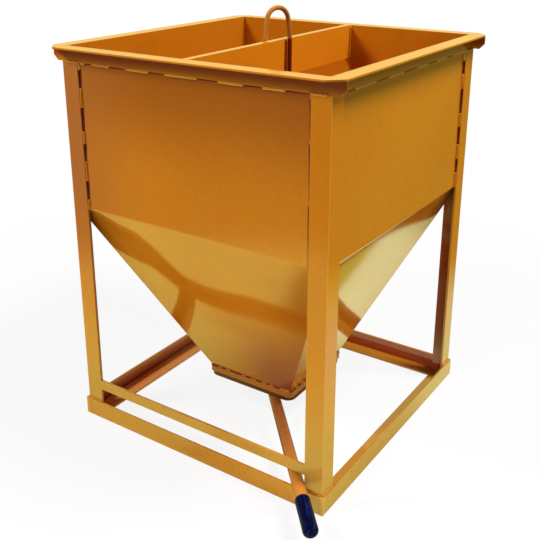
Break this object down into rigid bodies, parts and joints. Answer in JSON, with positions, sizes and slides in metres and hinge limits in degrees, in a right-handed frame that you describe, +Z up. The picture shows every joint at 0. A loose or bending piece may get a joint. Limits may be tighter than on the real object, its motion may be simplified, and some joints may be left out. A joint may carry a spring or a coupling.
{
  "type": "gravel bucket",
  "caption": "Square open steel hopper with a sloping bottom on an angle iron stand, with a lifting bail, emptied by a flat swinging gate on a lever.",
  "frame": {"origin": "on the floor, under the centre of the stand", "axes": "+Z up; the front looks along -Y; the lever comes out at the front towards +X"},
  "size_m": [0.8819, 0.9679, 1.1558],
  "materials": {
    "orange_enamel": "glossy orange-yellow enamel over welded plate and angle iron",
    "zinc_steel": "zinc plated",
    "blue_vinyl": "glossy dipped vinyl, dark blue"
  },
  "bodies": {
    "stand": {"wall_front": "orange_enamel", "wall_right": "orange_enamel", "wall_rear": "orange_enamel", "wall_left": "orange_enamel", "leg_front_left": "orange_enamel", "leg_front_right": "orange_enamel", "leg_rear_left": "orange_enamel", "leg_rear_right": "orange_enamel", "rim_front": "orange_enamel", "rim_right": "orange_enamel", "rim_rear": "orange_enamel", "rim_left": "orange_enamel", "base_rail_front": "orange_enamel", "base_rail_right": "orange_enamel", "base_rail_rear": "orange_enamel", "base_rail_left": "orange_enamel", "lifting_crossbar": "orange_enamel", "lifting_bail": "orange_enamel", "outlet_flange": "orange_enamel", "guide_bar": "orange_enamel", "pivot_bolt": "zinc_steel", "pivot_washers": "zinc_steel", "pivot_nut": "zinc_steel"},
    "gate": {"gate_plate": "orange_enamel", "lever_tube": "orange_enamel", "lever_grip": "blue_vinyl"}
  },
  "joints": [
    {"name": "gate_swing", "type": "hinge", "parent": "stand", "child": "gate", "pos_m": [-0.1605, 0.1382, 0.095], "axis": [0, 0, -1], "range_deg": [0, 59]}
  ]
}
